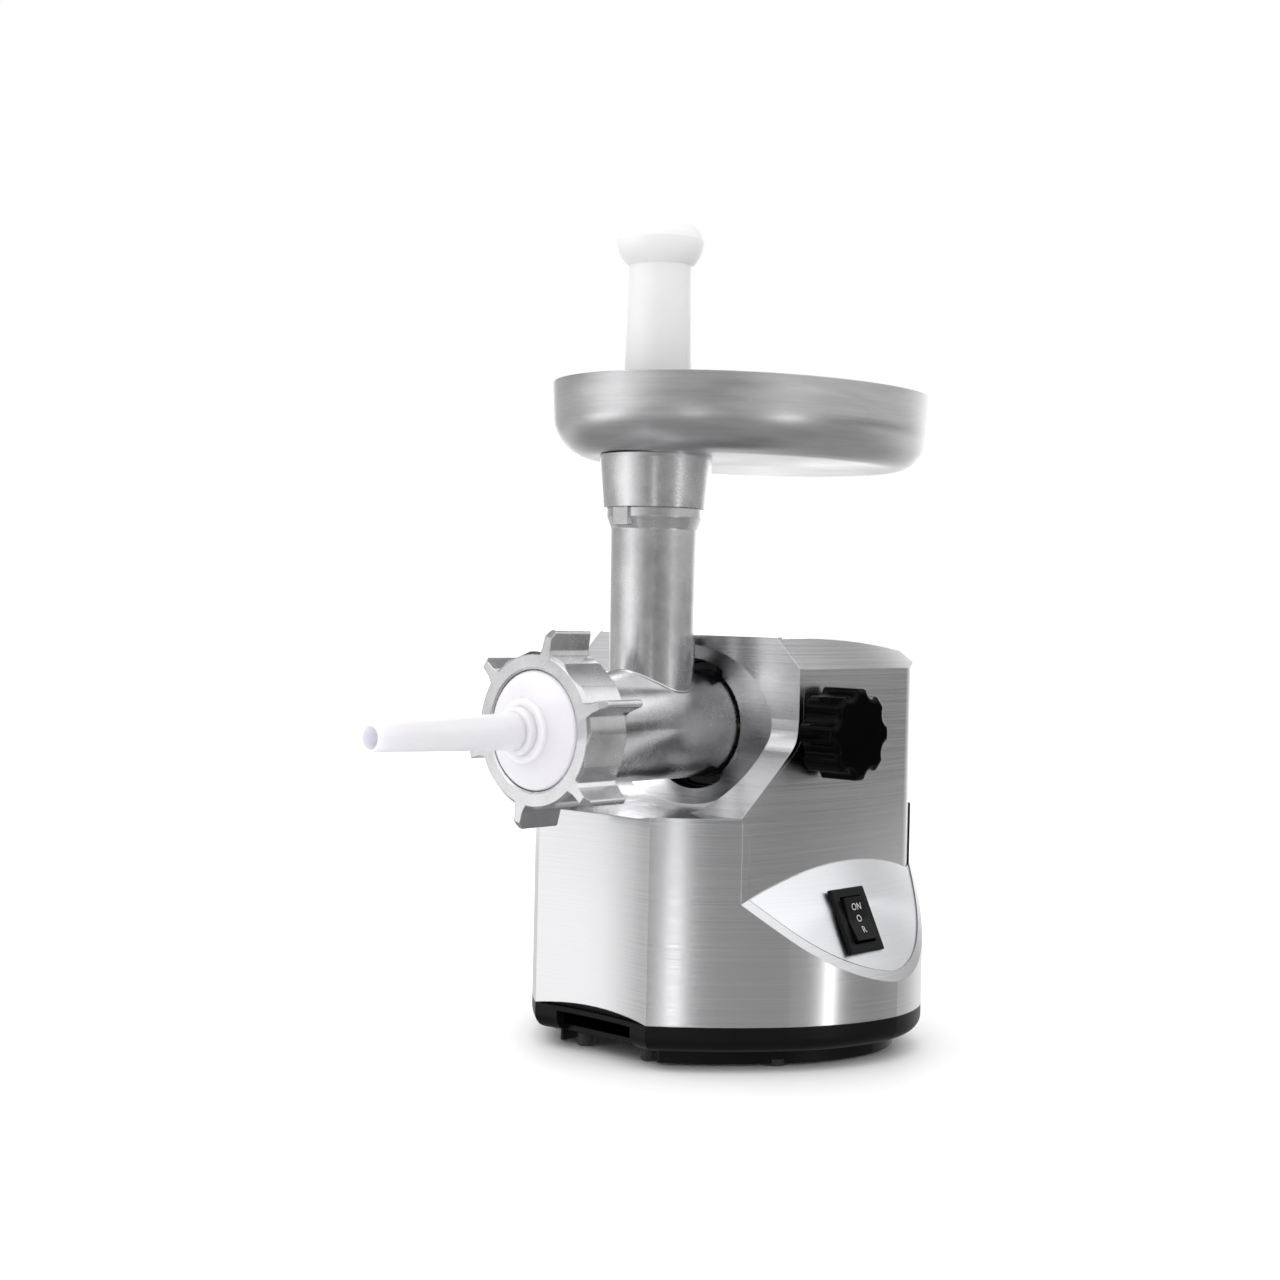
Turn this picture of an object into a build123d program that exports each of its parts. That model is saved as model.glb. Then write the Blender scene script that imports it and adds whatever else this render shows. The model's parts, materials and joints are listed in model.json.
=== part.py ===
from build123d import *
import math
import os

os.makedirs("parts", exist_ok=True)

# Electric meat grinder. Millimetres, +Z up, the nozzle points along -Y and the switch is on the +X side.
# Sub-parts are drawn with the feed tube's axis on Y = 0 and moved by origin_shift when they are written,
# so that the written model stands on Z = 0 with its overall box centred on the origin.

# Driving dimensions
axis_z = 162.0            # height of the barrel, auger and output shaft axis
nozzle_tip_y = -180.35    # front end of the sausage nozzle
tray_centre_y = 70.3      # centre of the meat tray, behind the feed tube
tray_half_length = 115.4
tray_half_width = 87.4
origin_shift = -(nozzle_tip_y + tray_centre_y + tray_half_length) / 2

# Housing
foot_z = 0.0
plinth_z = 1.5            # underside of the bottom plate
tray_bottom_z = 9.0       # underside of the black base
steel_bottom_z = 22.0     # lower edge of the steel shell
trough_z = axis_z - 42    # floor of the trough under the barrel
front_y = -40.0           # vertical creases of the front panel
rear_y = 140.0            # flat rear wall
crease_x = 37.5
lobe_half_width = 105.0
lobe_widest_y = 68.0
lobe_front_radius = 111.0
lobe_rear_radius = 72.0
flank_join_angle = 35.0   # where the bowed flank meets the lobe's arc, from the +X direction
front_panel_dip = 3.0     # hollow of the front panel between its creases
side_half_width = 76.0    # upper side panels, at their widest
side_widest_y = 65.0
side_radius = 408.0
corner_radius = 26.0
shell_wall = 2.5
lip_height = 0.8          # the shell's rim stands this proud of the hood
seam_gap = 0.3
vent_rows = 6
vent_pitch = 8.0
vent_z = 70.0
hood_screw_x = (-36.0, 36.0)
hood_screw_z = axis_z - 30
gland_x = 18.0
gland_z = 44.0
rim_y = 25.0              # front face of the horseshoe rim
rim_thickness = 3.2
facet_angle = 26.0        # control facet, from the vertical
facet_radius = 215.0
facet_top_z = axis_z - 65
crown_z = axis_z + 45.3
crown_radius = 500.0
crown_y = 45.0
shoulder_z = axis_z + 31  # fold between side panel and bevel
shoulder_angle = 45.0
rear_bevel = 14.0

# Bayonet socket in the housing
socket_y = 35.5
socket_radius = 29.2
socket_notch_radius = 33.5
socket_notch_angle = 34.0
dish_radius = 58.0        # half-width of the dish round the socket
dish_height = 41.0
trough_half_width = 57.0
trough_corner = 30.0
collar_front_y = 39.0
collar_rear_y = 61.0

# Mincing head
barrel_radius = 27.6
barrel_bore = 24.6
barrel_front_y = -74.2
thread_radius = 33.6
thread_depth = 0.7
thread_pitch = 4.0
plate_radius = 31.0       # No. 8 mincing plate, 62 mm
plate_thickness = 5.0
blade_thickness = 7.0
spigot_rear_y = 59.5
lug_outer_radius = 31.6
tube_bottom_radius = 21.1
tube_top_radius = 22.0
tube_bore = 18.6
throat_radius = 15.6
ledge_z = axis_z + 33     # the pusher's lower end stands here
tube_flange_z = axis_z + 104
tube_flange_radius = 24.2
tube_top_z = axis_z + 131

# Ring nut and nozzle
ring_front_y = -82.45
ring_depth = 26.0
ring_radius = 37.4
ring_opening = 29.0
ring_bore = 34.0
ring_lip = 3.8
ring_lug_count = 6
ring_lug_radius = 48.6
lug_turn = 12.0           # the ring nut stops with its top lug leaning to +X
nozzle_flange_radius = 33.0
nozzle_tip_radius = 6.3
nozzle_tip_bore = 5.2

# Meat tray and pusher
tray_floor_z = axis_z + 135.1
tray_rim_z = axis_z + 172.6
tray_wall = 2.0
neck_bottom_z = axis_z + 108.6
neck_top_radius = 28.1
neck_bottom_radius = 26.0
neck_bore = 22.3
pusher_radius = 16.7
pusher_neck_radius = 15.8
pusher_head_radius = 22.2
pusher_head_z = axis_z + 230.6
pusher_top_z = axis_z + 251.9

# Drive train: motor pinion, idler (large gear and small pinion), output gear
gearbox_foot_z = 24.0
output_module = 1.0       # idler pinion and output gear
motor_module = 0.8        # motor pinion and idler gear
pressure_angle = 25.0
backlash = 0.15
motor_teeth = 10
idler_teeth = 80
idler_pinion_teeth = 12
output_teeth = 66
idler_z = axis_z - output_module * (idler_pinion_teeth + output_teeth) / 2
motor_z = idler_z - motor_module * (motor_teeth + idler_teeth) / 2
gearbox_front_y = 62.0
gearbox_back_y = 100.0
gearbox_wall = 4.0
output_gear_y = (69.0, 80.0)
idler_gear_y = (84.0, 92.0)
running_gap = 0.05

# Motor
motor_front_y = -30.0
core_y = (0.0, 42.0)
armature_radius = 21.0
stator_bore = 22.0
shaft_radius = 4.0
bearing_radius = 9.0
fan_radius = 24.5
stator_half_height = 29.5

# Clamp knob and screw
screw_y = 41.2
knob_face_x = 101.0
knob_depth = 21.0
knob_radius = 22.5
knob_lobes = 8
knob_scallop_radius = 6.0
knob_scallop_centre = 25.6
screw_radius = 3.5
pad_tip_x = 28.0

# Power switch on the control facet
switch_y = 54.0
switch_drop = 31.0        # from the facet's upper edge, along the facet
switch_length = 33.0
switch_width = 27.0
switch_well_width = 17.0
switch_well_length = 24.0
switch_box_depth = 18.4   # back of the switch's box, below the facet
switch_pin_radius = 1.2


def box_between(x0, x1, y0, y1, z0, z1):
    centre = ((x0 + x1) / 2, (y0 + y1) / 2, (z0 + z1) / 2)
    return Pos(*centre) * Box(x1 - x0, y1 - y0, z1 - z0)


def rod_x(radius, x0, x1, y, z):
    return Pos((x0 + x1) / 2, y, z) * Rot(0, 90, 0) * Cylinder(radius, x1 - x0)


def rod_y(radius, y0, y1, x=0.0, z=axis_z):
    return Pos(x, (y0 + y1) / 2, z) * Rot(90, 0, 0) * Cylinder(radius, y1 - y0)


def rod_z(radius, z0, z1, x=0.0, y=0.0):
    return Pos(x, y, (z0 + z1) / 2) * Cylinder(radius, z1 - z0)


def turned_y(points, x=0.0, z=axis_z):
    """Solid of revolution about a Y axis, from (radius, y) points."""
    face = make_face(Polyline(*[(r, y, 0) for r, y in points], close=True))
    return Pos(x, 0, z) * revolve(face, Axis.Y, 360)


def turned_z(points, y=0.0):
    """Solid of revolution about a vertical axis, from (radius, z) points."""
    face = make_face(Polyline(*[(r, 0, z) for r, z in points], close=True))
    return Pos(0, y, 0) * revolve(face, Axis.Z, 360)


def solids_of(*shapes):
    """Separate solids kept together in one node."""
    return Compound(children=[s for shape in shapes for s in shape.solids()])


def largest(shape):
    return max(shape.solids(), key=lambda solid: solid.volume)


# ---------------------------------------------------------------- housing volumes

def lobe_outline(inset):
    """Plan of the lower body: hollow front panel, two bowed flanks and rounded lobes."""
    arc_x = lobe_half_width - lobe_front_radius
    turn = math.radians(45)
    join = math.radians(flank_join_angle)
    flank = (arc_x + lobe_front_radius * math.cos(join),
             lobe_widest_y + 5 - lobe_front_radius * math.sin(join))
    mid = math.radians(flank_join_angle / 2)
    rear_x = lobe_half_width - lobe_rear_radius
    crease = (crease_x, front_y)
    widest = (lobe_half_width, lobe_widest_y + 2)
    right = [
        TangentArc(flank, crease, tangent=(-math.sin(join), -math.cos(join))),
        ThreePointArc(flank, (arc_x + lobe_front_radius * math.cos(mid),
                              lobe_widest_y + 5 - lobe_front_radius * math.sin(mid)), widest),
        ThreePointArc(widest, (rear_x + lobe_rear_radius * math.cos(turn),
                               rear_y - lobe_rear_radius * (1 - math.sin(turn))), (rear_x, rear_y)),
    ]
    left = [mirror(edge, Plane.YZ) for edge in right]
    front = ThreePointArc((-crease_x, front_y), (0, front_y + front_panel_dip), crease)
    back = Line((-rear_x, rear_y), (rear_x, rear_y))
    face = make_face(Curve() + right + left + [front, back])
    if inset:
        face = make_face(offset(face, -inset, kind=Kind.INTERSECTION).edges())
    return face


def lobe_volume(inset, z0, z1):
    return Pos(0, 0, z0) * extrude(lobe_outline(inset), z1 - z0)


def side_x(y):
    """Half-width of the upper side panels at a given depth."""
    return side_half_width - side_radius + math.sqrt(side_radius ** 2 - (y - side_widest_y) ** 2)


def side_volume(inset, z0, z1):
    y0, y1 = front_y - 25, rear_y - inset
    arc = ThreePointArc((side_x(y0) - inset, y0), (side_half_width - inset, side_widest_y),
                        (side_x(y1) - inset, y1))
    edges = [arc, mirror(arc, Plane.YZ)]
    edges.append(Line((-side_x(y0) + inset, y0), (side_x(y0) - inset, y0)))
    edges.append(Line((-side_x(y1) + inset, y1), (side_x(y1) - inset, y1)))
    body = extrude(make_face(Curve() + edges), z1 - z0)
    corners = body.edges().filter_by(Axis.Z).group_by(Axis.Y)[-1]
    return Pos(0, 0, z0) * fillet(corners, corner_radius - inset)


def tilted_drum(radius, inset, x, y, z, angle):
    """Big round bar whose surface passes the given point, leaning inwards from the vertical."""
    tilt = math.radians(angle)
    out = Vector(math.cos(tilt), 0, math.sin(tilt))
    middle = Vector(x, y, z) - out * radius
    frame = Plane(origin=middle, z_dir=(-math.sin(tilt), 0, math.cos(tilt)))
    return frame * Cylinder(radius - inset, 900)


def facet_volume(inset, z0, z1):
    drum = tilted_drum(facet_radius, inset, side_half_width, side_widest_y, facet_top_z, facet_angle)
    slab = box_between(-130, 130, front_y - 25, rear_y - inset, z0, z1)
    return slab & drum & mirror(drum, Plane.YZ)


def roof_volume(inset):
    """Everything below the crowned top, its side shoulders and the rear bevel."""
    crown = rod_x(crown_radius - inset, -150, 150, crown_y, crown_z - crown_radius)
    shoulder = tilted_drum(crown_radius, inset, side_half_width, side_widest_y, shoulder_z,
                           shoulder_angle)
    back = rear_y - inset
    bevel_z = axis_z + 23 - inset * (math.sqrt(2) - 1)
    profile = Polyline((-90, 0), (back, 0), (back, bevel_z), (back - 60, bevel_z + 60),
                       (-90, bevel_z + 60), close=True)
    bevel = extrude(Plane.YZ * make_face(profile), 150, both=True)
    return bevel & crown & shoulder & mirror(shoulder, Plane.YZ)


def hood_volume(inset, z0):
    """Side panels, control facets and roof, run forward past the shell's front."""
    body = side_volume(inset, z0, axis_z + 60) + facet_volume(inset, z0, axis_z)
    return body & roof_volume(inset)


def front_cutter(back, down=0.0):
    """Space in front of the horseshoe rim, moved back and down by given amounts."""
    slope = [(-11.0, trough_z + 1.5), (24.0, trough_z + 36.5)]
    line = Polyline((-150, slope[0][1]), slope[0], slope[1], (rim_y, trough_z + 48), (rim_y, 330),
                    (-150, 330), close=True)
    block = extrude(Plane.YZ * make_face(line), 150, both=True)
    soft = block.edges().filter_by(Axis.X).filter_by_position(Axis.Y, 23, 26).filter_by_position(
        Axis.Z, trough_z + 30, trough_z + 60)
    return Pos(0, back, -down) * fillet(soft, 16)


def dish_cutter(back):
    """Oval funnel round the socket, widening to the rim."""
    facing = Plane(origin=(0, socket_y, axis_z), x_dir=(1, 0, 0), z_dir=(0, -1, 0))
    mouth = facing.offset(socket_y - rim_y) * Ellipse(dish_radius, dish_height)
    funnel = loft([facing * Circle(socket_radius), mouth])
    return Pos(0, back, 0) * (funnel + extrude(mouth, 70))


def trough_cutter(back):
    """Rounded channel that the barrel lies in."""
    plan = Pos(0, 60) * Rectangle(2 * (trough_half_width + back), 120 + 2 * 42 + 2 * back)
    face = fillet(plan.vertices().group_by(Axis.Y)[0], trough_corner + back)
    channel = extrude(Plane(origin=(0, rim_y + back, axis_z), x_dir=(1, 0, 0), z_dir=(0, -1, 0)) * face,
                      150)
    return channel & box_between(-200, 200, -150, 60, 0, axis_z + 6)


def outer_volume(inset, proud, z0):
    """The whole steel body, or its inside when inset is the wall's thickness."""
    lower = lobe_volume(inset, z0, trough_z + 6)
    upper = side_volume(inset - proud, trough_z + 1.5 - inset, axis_z + 60)
    body = (lower + upper) & hood_volume(inset - proud, z0 - 1)
    return body - front_cutter(inset, inset) - dish_cutter(inset) - trough_cutter(inset)


def hood_region(gap):
    """Where the rear hood's skin lies: behind the rim and inside the shell's lower wall."""
    seam = trough_z + 1.5
    lower = lobe_volume(shell_wall + gap, steel_bottom_z - 5, seam + 4)
    lower -= box_between(-61, 61, front_y - 10, 50, 0, 300)
    lower -= box_between(-66.5, 66.5, front_y - 10, 5, 0, 300)
    behind = box_between(-150, 150, -30, rear_y + 20, seam, 330)
    behind -= hood_volume(4.5 - gap, 0) & box_between(-150, 150, -60, 62, 0, 300)
    return (lower + behind) - front_cutter(rim_thickness + gap)


# ---------------------------------------------------------------- housing parts

def notch_ring(radius, y0, y1, half_angle, count=2):
    """Solid disc with widened sectors at the top and bottom, for the bayonet."""
    shape = rod_y(socket_radius, y0, y1)
    wedge = rod_y(radius, y0, y1)
    t = math.radians(half_angle)
    reach = radius * 2
    sector = extrude(Plane.XZ * make_face(Polyline(
        (0, 0), (reach * math.sin(t), reach * math.cos(t)), (-reach * math.sin(t), reach * math.cos(t)),
        close=True)), (y1 - y0) / 2, both=True)
    sector = Pos(0, (y0 + y1) / 2, axis_z) * sector
    for k in range(count):
        turn = Pos(0, 0, axis_z) * Rot(0, 180 * k, 0) * Pos(0, 0, -axis_z)
        shape += wedge & (turn * sector)
    return shape


def vent_slots(y0, y1):
    slots = None
    for row in range(vent_rows):
        z = vent_z + row * vent_pitch
        slot = box_between(-26, 26, y0, y1, z, z + 3.5)
        slots = slot if slots is None else slots + slot
    return slots


def make_body_shell():
    skin = outer_volume(0, lip_height, steel_bottom_z) - outer_volume(shell_wall, lip_height,
                                                                     steel_bottom_z - 8)
    shell = skin - hood_region(0)
    shell -= notch_ring(socket_notch_radius, 20, 45, socket_notch_angle)
    arch = Pos(0, front_y, steel_bottom_z - 230 + 3.2) * Rot(90, 0, 0) * Cylinder(230, 30)
    shell -= arch
    shell -= vent_slots(rear_y - 10, rear_y + 5)
    shell -= rod_y(9.0, rear_y - 10, rear_y + 5, gland_x, gland_z)
    return shell


def make_rear_hood():
    skin = outer_volume(0, 0, steel_bottom_z) - outer_volume(shell_wall - 0.5, 0, steel_bottom_z - 8)
    hood = skin & hood_region(seam_gap)
    hood -= rod_x(screw_radius + 2.2, 60, 100, screw_y, axis_z)
    for x in hood_screw_x:
        hood -= rod_y(1.6, rear_y - 9, rear_y + 5, x, hood_screw_z)
    return largest(hood - switch_cutout())


def facet_frame():
    """Plane on the right facet at the switch: X along Y of the machine, Z outwards."""
    tilt = math.radians(facet_angle)
    down = Vector(math.sin(tilt), 0, -math.cos(tilt))
    out = Vector(math.cos(tilt), 0, math.sin(tilt))
    origin = Vector(side_half_width, switch_y, facet_top_z) + down * switch_drop
    return Plane(origin=origin, x_dir=(0, 1, 0), z_dir=out)


def switch_cutout():
    return facet_frame() * Box(switch_width - 4, switch_length - 4, 30)


def make_control_label():
    """Thin satin plate on the right facet, between the facet's upper edge and the shell's lip."""
    thick = 0.3
    plate = hood_volume(-thick, steel_bottom_z) - hood_volume(0, steel_bottom_z - 5)
    plate &= lobe_volume(shell_wall + seam_gap, steel_bottom_z, trough_z)
    below = side_volume(-thick - 0.05, steel_bottom_z - 5, axis_z)
    plate = (plate - below) & box_between(60, 120, -20, rear_y - 12, steel_bottom_z, axis_z)
    return largest(plate - switch_cutout())


def make_base_tray():
    """Black base: a rounded band under the steel shell, with a locating lip inside it."""
    band = lobe_volume(0.0, tray_bottom_z, steel_bottom_z)
    lower = band.edges().group_by(Axis.Z)[0]
    band = fillet(lower, 7.5)
    lip = lobe_volume(shell_wall + 0.3, steel_bottom_z - 2, steel_bottom_z + 7)
    tray = band + lip - lobe_volume(5.5, tray_bottom_z + 3, steel_bottom_z + 20)
    recess = box_between(-24, 26, front_y - 10, front_y + 9, tray_bottom_z - 5, steel_bottom_z - 2.5)
    tray -= recess
    for x, y in gearbox_feet():
        tray += rod_z(7, tray_bottom_z + 2, gearbox_foot_z, x, y)
        tray -= rod_z(2.1, tray_bottom_z - 1, gearbox_foot_z + 1, x, y)
    for x, y in base_screw_places():
        tray -= rod_z(1.6, tray_bottom_z - 1, tray_bottom_z + 4, x, y)
    for k in range(7):
        tray -= box_between(-22, 22, 20 + k * 8, 23 + k * 8, 0, steel_bottom_z)
    return tray


def gearbox_feet():
    return [(sx * 46, y) for sx in (-1, 1) for y in (gearbox_front_y + 8, gearbox_back_y - 8)]


def foot_places():
    return [(sx * x, y) for sx in (-1, 1) for x, y in ((66, 22), (52, 106))]


def base_screw_places():
    return [(sx * x, y) for sx in (-1, 1) for x, y in ((60, 52), (34, 118))]


def front_foot_places():
    return [(sx * 21.5, -19) for sx in (-1, 1)]


def make_bottom_plate():
    plate = lobe_volume(14, plinth_z, tray_bottom_z)
    plate -= lobe_volume(16.5, plinth_z + 4.5, tray_bottom_z + 5)
    plate -= box_between(-32, 32, front_y, -6, 0, 40)
    for x, y in foot_places():
        plate -= rod_z(9.3, plinth_z - 1, plinth_z + 2, x, y)
    for x, y in base_screw_places():
        plate += rod_z(5, plinth_z + 4, tray_bottom_z, x, y)
        plate -= rod_z(1.6, 0, tray_bottom_z + 1, x, y) + rod_z(3.4, 0, plinth_z + 2.4, x, y)
    for k in range(7):
        plate -= box_between(-22, 22, 20 + k * 8, 23 + k * 8, 0, tray_bottom_z - 0.5)
    return plate


def make_rubber_feet():
    feet = []
    for x, y in foot_places():
        foot = rod_z(9, foot_z, plinth_z + 2, x, y)
        feet.append(chamfer(foot.edges().group_by(Axis.Z)[0], 0.8))
    for x, y in front_foot_places():
        foot = rod_z(4.5, foot_z, tray_bottom_z, x, y)
        feet.append(chamfer(foot.edges().group_by(Axis.Z)[0], 0.6))
    return solids_of(*feet)


def make_vent_grille():
    """Black louvred insert behind the slots of the rear wall."""
    y1 = rear_y - shell_wall
    top = vent_z + vent_rows * vent_pitch
    frame = box_between(-31, 31, y1 - 3, y1, vent_z - 5, top + 1)
    for row in range(vent_rows):
        z = vent_z + row * vent_pitch
        frame -= Pos(0, y1 - 1.5, z + 1.75) * Rot(35, 0, 0) * Box(54, 9, 2.4)
    return frame


def make_cable_gland():
    """Strain-relief gland in the rear wall, with no cord in it."""
    y = rear_y
    points = [(4.2, y - 12), (7.5, y - 12), (7.5, y - shell_wall - 2.6), (12, y - shell_wall - 2.6),
              (12, y - shell_wall), (8.9, y - shell_wall), (8.9, y), (11.5, y), (11.5, y + 3.5),
              (8.6, y + 5), (7.0, y + 18), (4.2, y + 18)]
    return turned_y(points, gland_x, gland_z)


# ---------------------------------------------------------------- switch

def make_switch_body():
    """Bezel on the facet and the box behind it, hollow for the rocker."""
    bezel = Pos(0, 0, 1.3) * Box(switch_width, switch_length, 2.0)
    bezel = chamfer(bezel.edges().group_by(Axis.Z)[-1], 0.7)
    box = Pos(0, 0, 0.4 - (switch_box_depth + 0.4) / 2) * Box(switch_width - 4.6, switch_length - 4.6,
                                                             switch_box_depth + 0.4)
    well = Pos(0, 0, 2) * Box(switch_well_width, switch_well_length, 16)
    pin_holes = Rot(0, 90, 0) * Cylinder(switch_pin_radius, switch_width - 5.4)
    return facet_frame() * (bezel + box - well - pin_holes)


def make_switch_rocker():
    """Paddle with two raised ends, turning on the pin across its middle."""
    half = switch_well_length / 2 - 1.0
    side = make_face(Polyline((-half, 4.6), (0, 2.9), (half, 4.6), (half - 1.2, -2.2), (0, -5.4),
                              (-half + 1.2, -2.2), close=True))
    paddle = extrude(Plane.YZ * side, switch_well_width / 2 - 0.4, both=True)
    bore = Rot(0, 90, 0) * Cylinder(switch_pin_radius + running_gap, switch_width)
    return facet_frame() * (paddle - bore)


def make_switch_pin():
    return facet_frame() * (Rot(0, 90, 0) * Cylinder(switch_pin_radius, switch_width - 5.4))


def make_switch_terminals():
    tabs = [Pos(0, y, -switch_box_depth - 4) * Box(6.3, 0.8, 8) for y in (-9, 0, 9)]
    return solids_of(*[facet_frame() * tab for tab in tabs])


# ---------------------------------------------------------------- socket, knob and clamp

def make_socket_collar():
    """Black bayonet collar behind the housing's round opening, with a threaded side boss."""
    ring = rod_y(36.5, collar_front_y, collar_front_y + 3) + rod_y(35, collar_front_y, collar_rear_y)
    ring += rod_x(6, 38, 58, screw_y, axis_z)
    ring += box_between(30, 40, collar_front_y, screw_y + 6, axis_z - 6, axis_z + 6)
    ring -= rod_y(barrel_radius + 0.3, collar_front_y - 1, collar_rear_y + 1)
    slot = rod_y(lug_outer_radius + 0.6, collar_front_y - 1, 52)
    ring -= slot & box_between(-9.5, 9.5, collar_front_y - 1, 52, axis_z - 40, axis_z + 40)
    return ring - rod_x(screw_radius + running_gap, 20, 80, screw_y, axis_z)


def make_lock_knob():
    """Eight-lobed star knob with a dished back and a hub round the screw."""
    back_x = knob_face_x - knob_depth
    body = rod_x(knob_radius, back_x, knob_face_x, screw_y, axis_z)
    for k in range(knob_lobes):
        t = 2 * math.pi * (k + 0.5) / knob_lobes
        y = screw_y + knob_scallop_centre * math.cos(t)
        z = axis_z + knob_scallop_centre * math.sin(t)
        body -= rod_x(knob_scallop_radius, back_x - 1, knob_face_x + 1, y, z)
    body = fillet(body.edges().filter_by(Axis.X), 2.0)
    body = fillet(body.edges().group_by(Axis.X)[-1], 2.5)
    body -= rod_x(15, back_x - 1, back_x + 9, screw_y, axis_z)
    body += rod_x(7.5, back_x - 2.5, back_x + 9.5, screw_y, axis_z)
    bore = rod_x(screw_radius - 0.5, back_x - 5, knob_face_x - 6, screw_y, axis_z)
    return body - bore


def make_clamp_screw():
    """Steel screw moulded into the knob, with a thread where it runs in the collar's boss."""
    back_x = knob_face_x - knob_depth
    shank = rod_x(screw_radius - 0.5, 34, knob_face_x - 6, screw_y, axis_z)
    thread = rod_x(screw_radius, 35, 62, screw_y, axis_z)
    for k in range(11):
        x = 37 + k * 2.2
        groove = rod_x(screw_radius + 1, x, x + 0.9, screw_y, axis_z)
        thread -= groove - rod_x(screw_radius - 0.45, x, x + 0.9, screw_y, axis_z)
    collar = rod_x(5.5, back_x - 5.2, back_x - 2.5, screw_y, axis_z)
    return shank + thread + collar - rod_x(2.0, 30, 40, screw_y, axis_z)


def make_clamp_pad():
    """Brass pad that presses on the head's spigot; its stem turns in the screw's end."""
    return rod_x(2.8, pad_tip_x, 33.9, screw_y, axis_z) + rod_x(1.95, 33, 39, screw_y, axis_z)


# ---------------------------------------------------------------- mincing head

def make_head_body():
    """Cast barrel with feed tube, threaded mouth, rear spigot and two bayonet lugs."""
    front = barrel_front_y
    outside = turned_y([
        (0, front), (thread_radius - 1, front), (thread_radius, front + 1), (thread_radius, -59),
        (thread_radius - 1.2, -57.5), (barrel_radius + 1, -50), (barrel_radius, -47),
        (barrel_radius, spigot_rear_y - 1), (barrel_radius - 1, spigot_rear_y), (0, spigot_rear_y)])
    for k in range(3):
        y = front + 3.2 + k * thread_pitch
        groove = rod_y(thread_radius + 1, y, y + 1.8) - rod_y(thread_radius - thread_depth, y, y + 1.8)
        outside -= groove
    tube = turned_z([
        (0, axis_z), (tube_bottom_radius, axis_z), (tube_top_radius, tube_flange_z - 6),
        (tube_flange_radius, tube_flange_z), (tube_flange_radius, neck_bottom_z - 0.1),
        (tube_top_radius, neck_bottom_z - 0.1), (tube_top_radius, tube_top_z), (0, tube_top_z)])
    lugs = rod_y(lug_outer_radius, 43, 50) & box_between(-9, 9, 43, 50, axis_z - 40, axis_z + 40)
    tab = box_between(-5, 5, -25.6, -20, neck_bottom_z - 9, neck_bottom_z - 0.1)
    body = outside + tube + lugs + tab
    body -= rod_y(barrel_bore, front + 11.8, 26)
    body -= rod_y(plate_radius + 0.2, front - 1, front + plate_thickness + blade_thickness)
    body -= rod_y(7.05, 20, spigot_rear_y + 1)
    body -= rod_y(22, 36, spigot_rear_y + 1)
    body -= rod_z(throat_radius, axis_z, ledge_z + 1)
    body -= rod_z(tube_bore, ledge_z, tube_top_z + 1)
    body -= box_between(-2.2, 2.2, front - 1, front + plate_thickness, axis_z - 33, axis_z - 30)
    return body


def helical_flight(inner, outer, y0, y1, pitch, thickness):
    """Screw flight about the barrel axis, as one swept solid."""
    path = Helix(pitch, y1 - y0, inner)
    root = Plane(origin=path @ 0, x_dir=(1, 0, 0), z_dir=path % 0)
    half = thickness / 2
    section = make_face(Polyline((-1.5, -half), (outer - inner, -half * 0.55), (outer - inner, half * 0.55),
                                 (-1.5, half), close=True))
    flight = sweep(root * section, path=path, is_frenet=True)
    return Pos(0, y0, axis_z) * Rot(-90, 0, 0) * flight


def make_auger():
    """Cast worm: tapered core, one helical flight, square nose for the blade and a rear journal."""
    nose = barrel_front_y + plate_thickness + blade_thickness
    worm = rod_y(10.5, nose, 25.6) + helical_flight(8.5, barrel_bore - 0.5, nose + 4, 12, 27, 5.0)
    journal = turned_y([(0, 17), (10.5, 17), (13, 21), (13, 25.6), (7, 25.6), (7, 52), (6.2, 53), (0, 53)])
    square = box_between(-5, 5, nose - blade_thickness, nose + 1, axis_z - 5, axis_z + 5)
    stub = rod_y(3.95, barrel_front_y - 0.5, nose)
    return worm + journal + square + stub


def make_auger_tang():
    """Square steel tail that drops into the output shaft."""
    return box_between(-4.6, 4.6, 53, 74, axis_z - 4.6, axis_z + 4.6)


def make_blade():
    """Four-armed cutter on the auger's square."""
    y0 = barrel_front_y + plate_thickness
    blade = rod_y(9, y0, y0 + blade_thickness)
    arm_face = make_face(Polyline((-3.8, 0), (-2.6, 24), (2.2, 24), (4.6, 0), close=True))
    front = Plane(origin=(0, y0 + blade_thickness - 1.5, axis_z), x_dir=(1, 0, 0), z_dir=(0, -1, 0))
    arm = extrude(front * arm_face, blade_thickness - 1.5)
    for k in range(4):
        blade += Pos(0, 0, axis_z) * Rot(0, 90 * k, 0) * Pos(0, 0, -axis_z) * arm
    return blade - box_between(-5, 5, y0 - 1, y0 + 10, axis_z - 5, axis_z + 5)


def make_mincing_plate():
    y0 = barrel_front_y
    plate = rod_y(plate_radius, y0, y0 + plate_thickness)
    plate -= rod_y(4.0, y0 - 1, y0 + 10)
    for count, ring in ((8, 9.5), (14, 15.5), (20, 21.5), (26, 27.0)):
        for k in range(count):
            t = 2 * math.pi * k / count
            plate -= rod_y(2.1, y0 - 1, y0 + 10, ring * math.cos(t), axis_z + ring * math.sin(t))
    return plate + box_between(-2, 2, y0, y0 + plate_thickness, axis_z - 32.6, axis_z - 30)


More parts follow.
